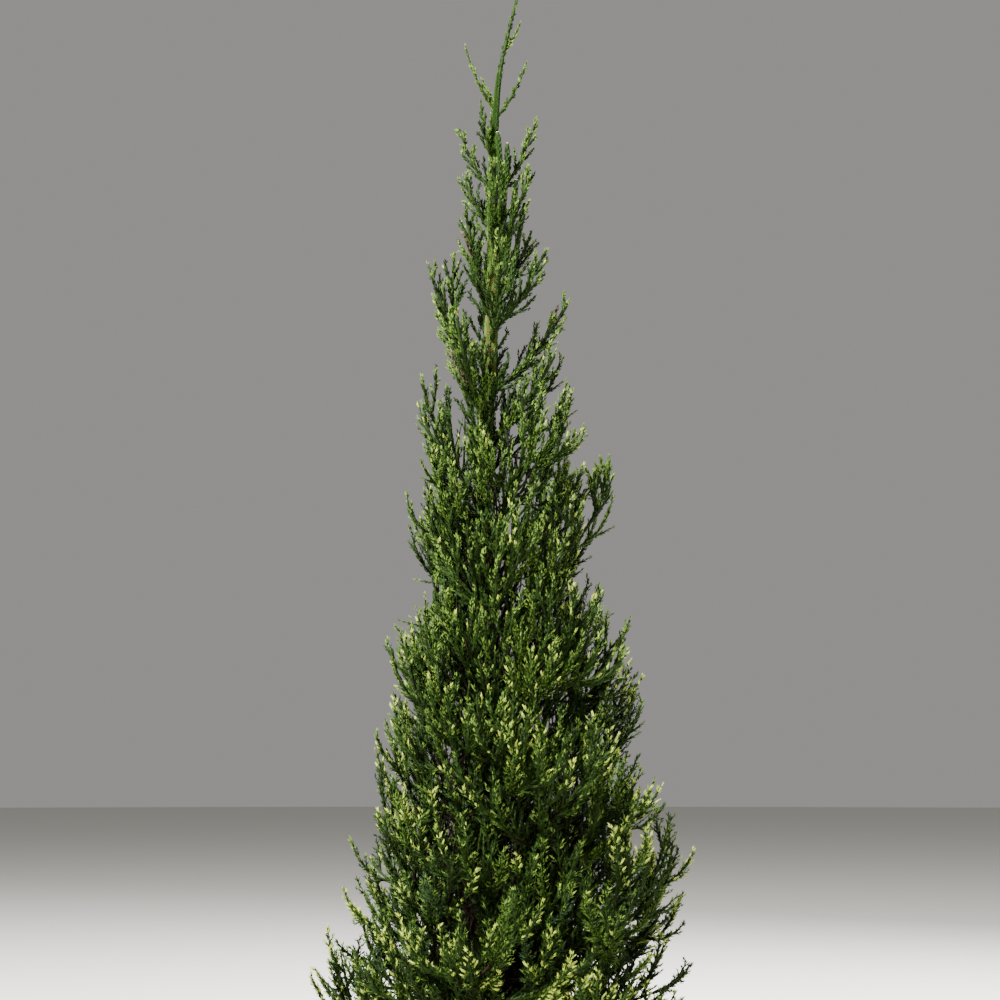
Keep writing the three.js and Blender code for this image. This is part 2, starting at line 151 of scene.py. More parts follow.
# Bent lines: (n, 3, 3) arrays of foot, bend and tip, with a share from 0 to 1 along them
def pointsOn(lines, share):
    u = np.broadcast_to(share, len(lines))[:, None]
    return (1 - u) ** 2 * lines[:, 0] + 2 * u * (1 - u) * lines[:, 1] + u * u * lines[:, 2]


def framesOn(lines, share):  # along the line, level across it, and square to both
    u = np.broadcast_to(share, len(lines))[:, None]
    along = unit((1 - u) * (lines[:, 1] - lines[:, 0]) + u * (lines[:, 2] - lines[:, 1]))
    level = np.cross(lines[:, 2] - lines[:, 0], up)
    across = unit(level - np.sum(level * along, -1, keepdims=True) * along)
    return along, across, np.cross(across, along)


def lengthOf(lines):
    spots = np.stack([pointsOn(lines, share) for share in np.linspace(0, 1, 9)], 1)
    return np.linalg.norm(np.diff(spots, axis=1), axis=-1).sum(1)


def partsOf(lines, start, end):
    start, end = np.broadcast_to(start, len(lines)), np.broadcast_to(end, len(lines))
    first, last = pointsOn(lines, start), pointsOn(lines, end)
    u, span = start[:, None], (end - start)[:, None]
    bend = first + ((lines[:, 1] - lines[:, 0]) * (1 - u) + (lines[:, 2] - lines[:, 1]) * u) * span
    return np.stack([first, bend, last], 1)


def pointOn(line, share):
    return pointsOn(line[None], share)[0]


def partOf(line, start, end):
    return partsOf(line[None], start, end)[0]


# Finishes
def colour(code):
    parts = [int(code[i:i + 2], 16) / 255 for i in (0, 2, 4)]
    return [c / 12.92 if c <= 0.04045 else ((c + 0.055) / 1.055) ** 2.4 for c in parts] + [1]


def finish(name, code, roughness, specular=0.2):
    material = bpy.data.materials.new(name)
    material.use_nodes = True
    shader = material.node_tree.nodes["Principled BSDF"]
    shader.inputs["Base Color"].default_value = colour(code)
    shader.inputs["Roughness"].default_value = roughness
    shader.inputs["Specular IOR Level"].default_value = specular
    return material


# deep, mid and fresh are one needle green in darker and lighter copies: the deep green is painted shade, the
# fresh green (sunlit needle green) painted sunlight
greens = {
    "shaded": finish("shaded needle green", "121f06", 0.65, 0.05),
    "mid": finish("needle green", "1b2e0a", 0.62, 0.05),
    "fresh": finish("sunlit needle green", "304512", 0.6, 0.05),
    "grey": finish("greyish needle green", "22341d", 0.65, 0.06),
    "young": finish("young needle green", "485d21", 0.6, 0.06),
    "tips": finish("new growth yellow green", "7d8a36", 0.6, 0.1),
    "dead": finish("dead needle brown", "4c4032", 0.8, 0.1),
}
twigGreen = finish("green shoot", "172507", 0.65, 0.06)
# the twig brown is near black: the bare twigs' own brown with the inner crown's shade painted in
shadedTwigBrown = finish("brown twig", "130e08", 0.85, 0.05)
cutWood = finish("fresh cut wood", "d8c49c", 0.7)

barkGrain = {
    "roughness": 0.88, "specular": 0.2, "stretch": 0.12, "scale": 260, "detail": 5, "brown": (0.34, 0.66),
    "green": (0.3, 0.7), "darkGreen": "17240b", "relief": 0.5, "depth": 0.0008,
}


def fibreColours(material, fibres, span, codes):  # two colours across the fibres
    ramp = material.node_tree.nodes.new("ShaderNodeValToRGB")
    for element, position, code in zip(ramp.color_ramp.elements, span, codes):
        element.position = position
        element.color = colour(code)
    material.node_tree.links.new(fibres.outputs["Fac"], ramp.inputs["Fac"])
    return ramp.outputs["Color"]


def barkFinish(name, darkCode, brownCode, greenCode, greenFrom, greenTo):  # brown fibres, green above
    material = bpy.data.materials.new(name)
    material.use_nodes = True
    nodes, links = material.node_tree.nodes, material.node_tree.links
    shader = nodes["Principled BSDF"]
    shader.inputs["Roughness"].default_value = barkGrain["roughness"]
    shader.inputs["Specular IOR Level"].default_value = barkGrain["specular"]
    position = nodes.new("ShaderNodeTexCoord")
    grain = nodes.new("ShaderNodeMapping")
    grain.inputs["Scale"].default_value = (1, 1, barkGrain["stretch"])
    links.new(position.outputs["Object"], grain.inputs["Vector"])
    fibres = nodes.new("ShaderNodeTexNoise")
    fibres.inputs["Scale"].default_value = barkGrain["scale"]
    fibres.inputs["Detail"].default_value = barkGrain["detail"]
    links.new(grain.outputs["Vector"], fibres.inputs["Vector"])
    split = nodes.new("ShaderNodeSeparateXYZ")
    links.new(position.outputs["Object"], split.inputs["Vector"])
    rise = nodes.new("ShaderNodeMapRange")
    rise.inputs["From Min"].default_value = greenFrom
    rise.inputs["From Max"].default_value = greenTo
    links.new(split.outputs["Z"], rise.inputs["Value"])
    old = fibreColours(material, fibres, barkGrain["brown"], (darkCode, brownCode))
    young = fibreColours(material, fibres, barkGrain["green"], (barkGrain["darkGreen"], greenCode))
    blend = nodes.new("ShaderNodeMix")
    blend.data_type = "RGBA"
    links.new(rise.outputs["Result"], blend.inputs["Factor"])
    links.new(old, blend.inputs[6])
    links.new(young, blend.inputs[7])
    links.new(blend.outputs[2], shader.inputs["Base Color"])
    bump = nodes.new("ShaderNodeBump")
    bump.inputs["Strength"].default_value = barkGrain["relief"]
    bump.inputs["Distance"].default_value = barkGrain["depth"]
    links.new(fibres.outputs["Fac"], bump.inputs["Height"])
    links.new(bump.outputs["Normal"], shader.inputs["Normal"])
    return material


# Camera, lamps and floor
view = {"lens": 81.4, "sensor": 36, "distance": 4.05, "height": 0.787, "pitch": 6.7}
camera = bpy.data.objects.new("camera", bpy.data.cameras.new("camera"))
camera.data.lens = view["lens"]
camera.data.sensor_width = view["sensor"]
camera.location = (0, -view["distance"], view["height"])
camera.rotation_euler = (math.radians(90 + view["pitch"]), 0, 0)
scene.collection.objects.link(camera)
scene.camera = camera

studio = {"aim": (0, 0, 1.2), "sky": "eceae6", "skyPower": 0.36, "floorRadius": 40, "floorSides": 96}
lamps = {
    "key light": {"power": 3900, "size": 0.8, "place": (-2.9, -2.8, 5.7)},
    "fill light": {"power": 1000, "size": 2.5, "place": (2.9, 3.6, 4.2)},
}
for name, plan in lamps.items():
    lamp = bpy.data.objects.new(name, bpy.data.lights.new(name, "AREA"))
    lamp.data.energy = plan["power"]
    lamp.data.size = plan["size"]
    lamp.location = plan["place"]
    lamp.rotation_euler = (Vector(studio["aim"]) - lamp.location).to_track_quat("-Z", "Y").to_euler()
    scene.collection.objects.link(lamp)
world = bpy.data.worlds.new("studio")
world.use_nodes = True
world.node_tree.nodes["Background"].inputs["Color"].default_value = colour(studio["sky"])
world.node_tree.nodes["Background"].inputs["Strength"].default_value = studio["skyPower"]
scene.world = world

floorShape = bmesh.new()
bmesh.ops.create_circle(floorShape, cap_ends=True, segments=studio["floorSides"],
                        radius=studio["floorRadius"])
floorMesh = bpy.data.meshes.new("floor")
floorShape.to_mesh(floorMesh)
floorShape.free()
floor = bpy.data.objects.new("floor", floorMesh)
floor.data.materials.append(finish("pale floor", "d8d6d0", 0.9, 0.2))
scene.collection.objects.link(floor)
print("studio ready")


# The limbs' plan, by the source's rule
limbs = {
    "count": 28, "withBough": 9, "lowest": 78, "highest": 1300, "crowding": 1.35, "firstAzimuth": 32,
    "riseDraw": (0.94, 1.06), "reachDraw": (0.93, 1.03),
}
limbRise = [[78, 140], [260, 235], [450, 310], [700, 335], [1000, 290], [1300, 215]]
longLimb = {"number": 5, "factor": 1.14}
bough = {"bareShare": 0.27, "thickness": 0.36, "taper": 0.72}
knee = {"out": 0.6, "up": 0.34}
fork = {
    "first": 0.02, "apart": 0.095, "widest": 58, "narrowing": 8, "lowestRise": 0.14, "riseApart": 0.21,
    "riseDraw": 0.12, "leastReach": 0.88, "sag": 0.14, "thickness": 0.7, "room": 38, "slim": 0.5,
}
forkCount = [[78, 6], [800, 5], [1300, 3]]
firstLimb = 100  # the dense masses are numbered from here, the spire's from 0


def limbLine(foot, azimuth, reach, rise):
    out = outwards(azimuth)
    bend = foot + out * knee["out"] * reach + up * knee["up"] * rise
    return np.array([foot, bend, foot + out * reach + up * rise])


def denseLimb(i):
    upward = (1 - i / (limbs["count"] - 1)) ** limbs["crowding"]
    height = limbs["lowest"] + (limbs["highest"] - limbs["lowest"]) * upward
    azimuth = limbs["firstAzimuth"] + goldenAngle * i
    rise = float(valueAt(limbRise, height) * between(*limbs["riseDraw"], i, draws["limbRise"]))
    stretch = float(between(*limbs["reachDraw"], i, draws["limbReach"]))
    stretch *= longLimb["factor"] if i == longLimb["number"] else 1
    reach = stretch * float(outlineAt(height + rise, azimuth))
    whole = limbLine(trunkPoint(height), azimuth, reach, rise)
    hasBough = i >= limbs["count"] - limbs["withBough"]
    bareTo = bough["bareShare"] if hasBough else 0
    return {
        "number": i, "height": height, "azimuth": azimuth, "rise": rise, "whole": whole,
        "hasBough": hasBough, "radius": bough["thickness"] * float(valueAt(tree["radius"], height)),
        "bough": partOf(whole, 0, bough["bareShare"]), "stems": [partOf(whole, bareTo, 1)], "crowded": [],
        "forks": int(valueAt(forkCount, height) + 0.5),
    }


def forkLine(limb, k):
    foot = pointOn(limb["whole"], bough["bareShare"] + fork["first"] + fork["apart"] * k)
    turned = 1 if (k + limb["number"]) % 2 else -1
    azimuth = limb["azimuth"] + turned * (fork["widest"] - fork["narrowing"] * k)
    riseShare = fork["lowestRise"] + fork["riseApart"] * k
    riseShare += fork["riseDraw"] * float(dice(limb["number"], draws["forkHeight"], k))
    tipHeight = limb["height"] + limb["rise"] * riseShare
    nearness = float(between(fork["leastReach"], 1, limb["number"], draws["forkReach"], k))
    tip = trunkPoint(tipHeight) + outwards(azimuth) * nearness * float(outlineAt(tipHeight, azimuth))
    middle = (foot + tip) / 2 - up * fork["sag"] * np.linalg.norm(tip - foot)
    return np.array([foot, middle, tip])


def outerRuns(lines):  # straight runs along the outer part of each line
    ends = [pointsOn(lines, share) for share in (0.3, 0.55, 0.8, 1)]
    return np.stack(ends[:-1], 1), np.stack(ends[1:], 1)


def leastGap(line, others):  # the shortest way from a line to any of the others
    (a, b), (c, d) = outerRuns(line[None]), outerRuns(others)
    a, b = a[:, None], b[:, None]
    c, d = c.reshape(-1, 1, 1, 3), d.reshape(-1, 1, 1, 3)
    ab, cd, ac = b - a, d - c, c - a
    aa, cc, mixed = [np.sum(p * q, -1) for p, q in ((ab, ab), (cd, cd), (ab, cd))]
    flat = np.maximum(aa * cc - mixed * mixed, 1e-6)
    u = np.clip((np.sum(ac * ab, -1) * cc - np.sum(ac * cd, -1) * mixed) / flat, 0, 1)
    v = np.clip((u * mixed - np.sum(ac * cd, -1)) / cc, 0, 1)
    u = np.clip((v * mixed + np.sum(ac * ab, -1)) / aa, 0, 1)
    return np.linalg.norm(a + ab * u[..., None] - c - cd * v[..., None], axis=-1).min()


def addForks():  # a fork that comes near another mass is only a slim one
    for k in range(max(limb["forks"] for limb in denseLimbs)):
        for limb in denseLimbs:
            if k < limb["forks"]:
                line = forkLine(limb, k)
                others = [stem for other in denseLimbs if other is not limb for stem in other["stems"]]
                hasRoom = leastGap(line, np.array(others)) > fork["room"]
                limb["stems" if hasRoom else "crowded"].append(line)


denseLimbs = [denseLimb(i) for i in range(limbs["count"])]
addForks()

# The open part, placed one by one: height of foot, azimuth, reach, rise
leader = {"foot": 2020, "radius": 4.6, "bend": 7}
spireStem = {"thickness": 0.42, "thinnest": 2.7}
spireShoots = [
    [1984, 190, 54, 110], [1970, 350, 57, 96], [1900, 95, 42, 104], [1885, 222, 32, 114],
    [1831, 176, 62, 122], [1813, 12, 84, 166], [1759, 160, 58, 113], [1740, 275, 62, 140],
    [1705, 330, 78, 162], [1690, 75, 72, 160], [1640, 128, 82, 170], [1632, 32, 84, 134],
    [1588, 205, 50, 198], [1570, 348, 98, 144], [1545, 284, 92, 180], [1500, 85, 102, 195],
    [1462, 186, 110, 238], [1453, 2, 148, 176], [1430, 135, 114, 190], [1400, 245, 124, 185],
    [1363, 330, 150, 162],
]
longerTops = {0: 1.09, 1: 1.07}

# Short tufts before and behind the open part of the trunk and in the waist
tuftRadius = 2.6
trunkTufts = [
    [410, 262, 165, 200], [480, 290, 150, 200], [540, 245, 150, 190], [600, 272, 140, 190],
    [680, 262, 120, 180], [760, 285, 110, 170], [860, 255, 100, 160], [960, 275, 90, 150],
    [1060, 262, 70, 140], [1150, 255, 52, 130], [1215, 282, 50, 125], [1262, 250, 48, 120],
    [1312, 262, 46, 120], [1330, 20, 52, 130], [1352, 140, 48, 120], [1378, 296, 40, 110],
    [1402, 215, 36, 100], [1436, 60, 40, 110], [1452, 252, 34, 96], [1520, 110, 36, 100],
    [1604, 30, 34, 110], [1690, 300, 32, 110], [1725, 120, 32, 100], [900, 172, 95, 150],
    [930, 205, 95, 150], [975, 186, 84, 140], [1010, 160, 80, 140], [1045, 200, 78, 140],
    [1085, 176, 82, 150], [1125, 210, 84, 150], [1150, 160, 80, 140], [1190, 186, 78, 140],
    [400, 120, 130, 170], [380, 132, 145, 160], [460, 112, 110, 150],
]
paleSprigs = [[2092, 5, 34, 62], [1996, 190, 27, 50]]  # beside the leader

# Side plumes that stand close together on one stem: its mass, the share of its line, azimuth, reach, rise
sidePlumes = [[105, 0.82, 120, 4, 80], [105, 0.88, 350, 8, 68], [17, 0.55, 340, 4, 126]]

# Plumes from the trunk between the limbs: each in turn grows to the spot that has least around it
gapPlumes = {
    "count": 108, "lowest": 190, "highest": 1330, "heightStep": 20, "azimuthStep": 8, "rise": 200,
    "riseDraw": (0.85, 1.15), "lowestFoot": 60, "radius": 3.2, "out": 0.74, "inner": 0.5, "looks": 6,
    "lots": 40,
}
stemNumbers = {
    "slimFork": 10, "gapPlume": 20, "tuft": 400, "sidePlume": 450, "innerTwig": 500, "itself": 900,
}


def massNear(height):  # the mass whose foot is nearest in height
    isDense = height < limbs["highest"]
    heights = [limb["height"] for limb in denseLimbs] if isDense else [row[0] for row in spireShoots]
    return (firstLimb if isDense else 1) + int(np.argmin(np.abs(np.array(heights) - height)))


def openRows():
    foot, tip = trunkPoint(leader["foot"]), trunkPoint(tree["height"])
    line = np.array([foot, (foot + tip) / 2 - np.array([leader["bend"], 0, 0]), tip])
    rows = [(0, 0, line, leader["radius"], False)]
    for i, (height, azimuth, reach, rise) in enumerate(spireShoots):
        radius = max(spireStem["thinnest"], spireStem["thickness"] * float(valueAt(tree["radius"], height)))
        line = partOf(limbLine(trunkPoint(height), azimuth, reach, rise), 0, longerTops.get(i, 1))
        rows.append((i + 1, 0, line, radius, False))
    for j, (height, azimuth, reach, rise) in enumerate(trunkTufts + paleSprigs):
        line = limbLine(trunkPoint(height), azimuth, reach, rise)
        rows.append((massNear(height), stemNumbers["tuft"] + j, line, tuftRadius, False))
    return rows


def denseRows():
    rows = []
    for limb in denseLimbs:
        mass, radius = firstLimb + limb["number"], limb["radius"] * bough["taper"]
        for k, line in enumerate(limb["stems"]):
            rows.append((mass, k, line, radius * (fork["thickness"] if k else 1), True))
        for k, line in enumerate(limb["crowded"]):
            rows.append((mass, stemNumbers["slimFork"] + k, line, radius * fork["slim"], True))
    return rows


def gapRows(lines):
    plan, rows = gapPlumes, []
    heights, azimuths = np.meshgrid(np.arange(plan["lowest"], plan["highest"], plan["heightStep"]),
                                    np.arange(0, 360, plan["azimuthStep"]))
    heights, azimuths = heights.ravel().astype(float), azimuths.ravel().astype(float)
    reach = plan["out"] * outlineAt(heights, azimuths)
    spots = trunkPoint(heights) + outwards(azimuths) * reach[:, None]
    shares = np.linspace(plan["inner"], 1, plan["looks"])
    filled = np.concatenate([pointsOn(lines, share) for share in shares])
    room = np.full(len(spots), np.inf)
    for some in np.array_split(filled, plan["lots"]):
        room = np.minimum(room, np.linalg.norm(spots[:, None] - some[None], axis=-1).min(1))
    for j in range(plan["count"]):
        widest = int(np.argmax(room))
        rise = plan["rise"] * float(between(*plan["riseDraw"], j, draws["plumeRise"]))
        rise = min(rise, heights[widest] - plan["lowestFoot"])
        height = heights[widest] - rise
        line = limbLine(trunkPoint(height), azimuths[widest], reach[widest], rise)
        for share in shares:
            room = np.minimum(room, np.linalg.norm(spots - pointOn(line, share), axis=-1))
        rows.append((massNear(height), stemNumbers["gapPlume"] + j, line, plan["radius"], True))
    return rows


def sideRows(rows):
    added = []
    for j, (mass, share, azimuth, reach, rise) in enumerate(sidePlumes):
        carrier = next(row[2] for row in rows if row[:2] == (mass, 0))
        line = limbLine(pointOn(carrier, share), azimuth, reach, rise)
        added.append((mass, stemNumbers["sidePlume"] + j, line, tuftRadius, False))
    return added


def drawnIn(lines):  # stems that run out into the waist end there
    end = np.ones(len(lines))
    least = np.minimum(1, waist["leastStem"] / lengthOf(lines))
    for i in range(waist["steps"] - 1, -1, -1):
        share = least + (1 - least) * i / waist["steps"]
        spots = pointsOn(lines, share)
        reach = reachAt(spots)
        isPast = (reach < waist["edge"]) & (howFarOut(spots) > waist["slack"] * reach)
        end = np.where(isPast, share, end)
    return partsOf(lines, 0, end)


def stemTable():
    rows = openRows() + denseRows()
    rows += gapRows(np.array([row[2] for row in rows]))
    rows += sideRows(rows)
    names = ("mass", "stem", "line", "radius", "dense")
    table = {name: np.array([row[i] for row in rows]) for i, name in enumerate(names)}
    table["line"] = drawnIn(table["line"])
    table["length"] = lengthOf(table["line"])
    table["turn"] = 360 * dice(table["mass"], draws["stemTurn"], table["stem"])
    return table


stems = stemTable()
print("stems", len(stems["mass"]), "slim forks", sum(len(limb["crowded"]) for limb in denseLimbs),
      "metres", round(stems["length"].sum() * metre, 1))


# Twigs on the stems, and finer shoots on the twigs, by one rule with its stations by height
twigSize = [[0, 1], [1650, 1], [1850, 0.75], [1940, 0.5], [1985, 0.15], [2200, 0.15]]
openTwig = {
    "spacing": [[0, 11.5], [2200, 11.5]], "freeEnd": 1, "angle": [[0, 28], [2200, 28]],
    "lift": [[0, 0.3], [2200, 0.3]], "longest": 80, "basic": 30, "ofParent": 0.32, "size": twigSize,
}
denseTwig = {
    "spacing": [[0, 27], [700, 25], [1000, 19], [1300, 17]], "freeEnd": 1, "angle": [[0, 34], [2200, 34]],
    "lift": [[0, 0.4], [300, 0.32], [600, 0.6], [2200, 0.6]], "innerLift": 0.6,
    "longest": 165, "basic": 60, "ofParent": 0.45, "size": twigSize,
}
# bare twigs inside the dense masses; their near-black brown also paints the inner crown's shade
innerTwig = {
    "spacing": [[0, 5], [700, 6.5], [1300, 40]], "freeEnd": 1, "angle": [[0, 52], [2200, 52]],
    "lift": [[0, 0.4], [2200, 0.4]], "longest": 130, "basic": 50, "ofParent": 0.35, "size": twigSize,
}
fineShoot = {
    "spacing": [[0, 7.5], [650, 8.5], [900, 13], [1100, 16], [1500, 18], [2200, 18]], "freeEnd": 0,
    "angle": [[0, 42], [600, 39], [950, 25], [2200, 22]], "lift": [[0, 0.15], [2200, 0.15]],
    "longest": 48, "basic": 12, "ofParent": 0.24,
    "size": [[0, 0.78], [600, 0.8], [950, 1.1], [1700, 1.05], [1850, 0.85], [2200, 0.6]],
    "fans": [[0, 0.85], [800, 0.8], [1150, 0], [2200, 0]], "fanSpread": 90,  # shoots left and right in turn
}
spray = {
    "leastPlaces": 3, "angleDraw": 10, "lengthDraw": (0.8, 1.2), "startSize": 0.6, "swell": 2,
    "endSize": 1.06, "bend": 0.5, "slack": 1.06, "lowest": 25,
}
clothing = {"twigs": 0.54, "inner": 0.55, "shoots": 0.56}  # how far out the needles begin


def placesOn(counts):  # which parent each place is on, and its number there
    parent = np.repeat(np.arange(len(counts)), counts)
    return parent, np.arange(len(parent)) - np.repeat(np.cumsum(counts) - counts, counts)


def growOn(parents, rule):
    spacing = valueAt(rule["spacing"], parents["line"][:, 0, 2])
    places = np.maximum(spray["leastPlaces"], np.floor(parents["length"] / spacing + 0.5).astype(int))
    parent, place = placesOn(places)
    keep = (place > 0) & (place < places[parent] - rule["freeEnd"])
    parent, place = parent[keep], place[keep]
    own = {name: value[parent] for name, value in parents.items()}
    keys = [own[name] for name in ("mass", "stem", "place") if name in own]
    lines, share = own["line"], (place + 0.5) / places[parent]

    turn = place * goldenAngle + own["turn"]
    if "fans" in rule:
        isFan = dice(*keys, draws["isFan"]) < valueAt(rule["fans"], lines[:, 0, 2])
        fanTurn = 180 * (place % 2) + rule["fanSpread"] * (dice(*keys, place, draws["fanTurn"]) - 0.5)
        turn = np.where(isFan, fanTurn, turn)
    turn = np.radians(turn)[:, None]
    along, across, side = framesOn(lines, share)
    outward = across * np.cos(turn) + side * np.sin(turn)
    angle = valueAt(rule["angle"], lines[:, 0, 2])
    angle = angle + spray["angleDraw"] * (dice(*keys, place, draws["shootAngle"]) - 0.5)
    angle = np.radians(angle)[:, None]
    leave = along * np.cos(angle) + outward * np.sin(angle)

    foot = pointsOn(lines, share)
    plume = np.minimum(1, spray["startSize"] + spray["swell"] * share) * np.sqrt(spray["endSize"] - share)
    longest = np.minimum(rule["longest"], rule["basic"] + rule["ofParent"] * own["length"])
    length = longest * plume * between(*spray["lengthDraw"], *keys, place, draws["shootLength"])
    length = length * valueAt(rule["size"], foot[:, 2])
    lift = valueAt(rule["lift"], foot[:, 2]) + rule.get("innerLift", 0) * (1 - share)
    tip = foot + unit(leave + up * lift[:, None]) * length[:, None]
    bend = foot + leave * spray["bend"] * length[:, None]

    isLong = own["mass"] == firstLimb + longLimb["number"]
    slack = spray["slack"] * np.where(isLong, longLimb["factor"], 1)
    out, lowest = howFarOut(tip), np.minimum(foot[:, 2], tip[:, 2])
    inside = (out < slack * reachAt(tip)) & (lowest > spray["lowest"])
    new = {name: own[name] for name in ("mass", "stem", "place", "dense") if name in own}
    new.update({
        "line": np.stack([foot, bend, tip], 1), "length": length, "share": share, "out": out,
        "turn": 360 * dice(*keys, place, draws["shootTurn"]), "fine" if "place" in own else "place": place,
    })
    return {name: value[inside] for name, value in new.items()}


def joined(first, second):
    return {name: np.concatenate([first[name], second[name]]) for name in first}


def chosen(table, mask):
    return {name: value[mask] for name, value in table.items()}


openStems, denseStems = chosen(stems, ~stems["dense"]), chosen(stems, stems["dense"])
twigs = joined(growOn(openStems, openTwig), growOn(denseStems, denseTwig))
innerStems = dict(denseStems, turn=denseStems["turn"] + 90)
innerStems["stem"] = denseStems["stem"] + stemNumbers["innerTwig"]
inner = growOn(innerStems, innerTwig)
isClothed = ~twigs["dense"] | (twigs["out"] > clothing["twigs"])
clothed = chosen(twigs, isClothed)
bare = joined(chosen(twigs, ~isClothed), chosen(inner, inner["out"] <= clothing["inner"]))
shoots = growOn(clothed, fineShoot)
shoots = chosen(shoots, ~shoots["dense"] | (shoots["out"] > clothing["shoots"]))
print("twigs", len(twigs["mass"]), "bare", len(bare["mass"]), "shoots", len(shoots["mass"]),
      "metres", round(clothed["length"].sum() * metre), round(shoots["length"].sum() * metre))


# Pieces: the CAD nodes that each stands for, and meshes of many small things
regionSpans = {"upper": (1, 10), "middle": (11, 19), "lower": (20, 28)}  # the first and last limb of each
regions = {"spire": ["foliage_leader"] + [f"foliage_spire_{i + 1}" for i in range(len(spireShoots))]}
for name, (first, last) in regionSpans.items():
    regions[name] = [f"foliage_{i}" for i in range(first, last + 1)]
regionNames = list(regions)
regionStarts = np.array([0] + [firstLimb + first - 1 for first, last in regionSpans.values()])


def regionOf(table):
    return np.searchsorted(regionStarts, table["mass"], side="right") - 1


def addObject(name, mesh, material, nodes, smooth):
    mesh.materials.append(material)
    if smooth:
        mesh.shade_smooth()
    else:
        mesh.shade_flat()
    piece = bpy.data.objects.new(name, mesh)
    scene.collection.objects.link(piece)
    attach(piece, "root")
    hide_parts(*nodes)


def addJoined(name, groups, material, nodes, smooth):  # the things of a group share their faces
    corners, triangles, count = [], [], 0
    for spots, faces in groups:
        first = count + np.arange(len(spots)) * spots.shape[1]
        triangles.append((faces[None] + first[:, None, None]).reshape(-1, 3))
        corners.append(spots.reshape(-1, 3))
        count += len(corners[-1])
    corners, triangles = np.concatenate(corners), np.concatenate(triangles)
    mesh = bpy.data.meshes.new(name)
    mesh.vertices.add(len(corners))
    mesh.vertices.foreach_set("co", (corners * metre).astype(np.float32).ravel())
    mesh.loops.add(triangles.size)
    mesh.loops.foreach_set("vertex_index", triangles.astype(np.int32).ravel())
    mesh.polygons.add(len(triangles))
    mesh.polygons.foreach_set("loop_start", np.arange(0, triangles.size, 3, dtype=np.int32))
    mesh.update(calc_edges=True)
    addObject(name, mesh, material, nodes, smooth)
    return len(triangles)


def tubes(lines, foot, tip, sides, segments):  # closed tapering tubes, drawn to a point
    rings = []
    for share in np.linspace(0, 1, segments + 1)[:-1]:
        _, across, side = framesOn(lines, share)
        radius = (foot + (tip - foot) * share)[:, None]
        middle = pointsOn(lines, share)
        for k in range(sides):
            angle = 2 * math.pi * k / sides
            rings.append(middle + radius * (across * math.cos(angle) + side * math.sin(angle)))
    rings.append(lines[:, 2])
    faces = []
    for s in range(segments - 1):
        for k in range(sides):
            a, b = s * sides + k, s * sides + (k + 1) % sides
            faces += [[a, b + sides, b], [a, a + sides, b + sides]]
    last = (segments - 1) * sides
    faces += [[last + (k + 1) % sides, last + k, last + sides] for k in range(sides)]
    faces += [[0, k, k + 1] for k in range(1, sides - 1)]
    return np.stack(rings, 1), np.array(faces)


awlFaces = np.array([[0, 2, 1], [3, 0, 1], [3, 1, 2], [3, 2, 0]])
awlFoot = {"keel": 0.9, "flat": 0.4}


def awls(lines, share, around, depth, length, width, leave):  # needles of four faces, feet in the shoot
    along, across, side = framesOn(lines, share)
    turn = np.radians(around)[:, None]
    out = across * np.cos(turn) + side * np.sin(turn)
    level = np.cross(along, out)
    depth, length, half, angle = [np.broadcast_to(value, len(lines))[:, None]
                                  for value in (depth, length, width / 2, np.radians(leave))]
    run = along * np.cos(angle) + out * np.sin(angle)
    keel = out * np.cos(angle) - along * np.sin(angle)
    foot = pointsOn(lines, share) + out * depth
    flat = foot - keel * half * awlFoot["flat"]
    return np.stack([foot + keel * half * awlFoot["keel"], flat + level * half, flat - level * half,
                     foot + run * length], 1)


# Colours are dealt out by spray: a twig with its shoots has one. The deep green is painted shade and the
# fresh green painted sunlight, dealt at random
shades = list(greens)
shadeNumber = {name: i for i, name in enumerate(shades)}
dealing = {
    "shaded": 0.42, "lessShaded": 0.14, "mid": 0.86, "lessMid": 0.1, "high": 1500, "grey": 0.9, "greyTo": 620,
}

# Three sprays of the open part are dead: where they end across and up in the photograph's plane
deadSpots = [[-67, 1755], [81, 1619], [-103, 1512]]


def sprayKey(table):
    return (table["mass"] * 1000 + table["stem"]) * 1000 + table["place"]


def deadSprays():
    tips = twigs["line"][:, 2]
    behind = np.maximum(0, tips[:, 1])
    away = [np.linalg.norm(tips[:, [0, 2]] - spot, axis=1) + behind for spot in deadSpots]
    return sprayKey(twigs)[[np.argmin(some) for some in away]]


deadKeys = deadSprays()


def shadeOf(table):
    draw = dice(table["mass"], table["stem"], table["place"], draws["shade"])
    height = table["line"][:, 2, 2]
    # painted light from above: the higher a spray ends, the less often it is deep green and the more often
    # fresh green
    high = np.clip(height / dealing["high"], 0, 1)
    isShaded = draw < dealing["shaded"] - dealing["lessShaded"] * high
    isMid = draw < dealing["mid"] - dealing["lessMid"] * high
    isGrey = (height < dealing["greyTo"]) & (draw > dealing["grey"])
    firstPale = stemNumbers["tuft"] + len(trunkTufts)
    isPale = (table["stem"] >= firstPale) & (table["stem"] < firstPale + len(paleSprigs))
    isDead = np.isin(sprayKey(table), deadKeys)
    number = [shadeNumber[name] for name in ("dead", "young", "grey", "shaded", "mid")]
    return np.select([isDead, isPale, isGrey, isShaded, isMid], number, shadeNumber["fresh"])


# New growth: on some sprays most of the shoots in the light end in a paler green and then in yellow green
growth = {
    "out": 0.6, "outYellow": 0.76, "short": 9, "long": 22, "yellowPart": 0.58, "pressed": 0.6,
    "smaller": 0.8, "inward": 0.35, "outward": 1.1, "seldom": 0.04,
    "paler": [[0, 0.3], [800, 0.4], [1100, 0.7], [2200, 0.7]],
    "clumps": [[0, 0.44], [800, 0.42], [1100, 0.45], [1400, 0.33], [1600, 0.22], [2200, 0.18]],
    "often": [[0, 0.9], [800, 0.75], [1150, 0.45], [1500, 0.2], [2200, 0.15]],
}


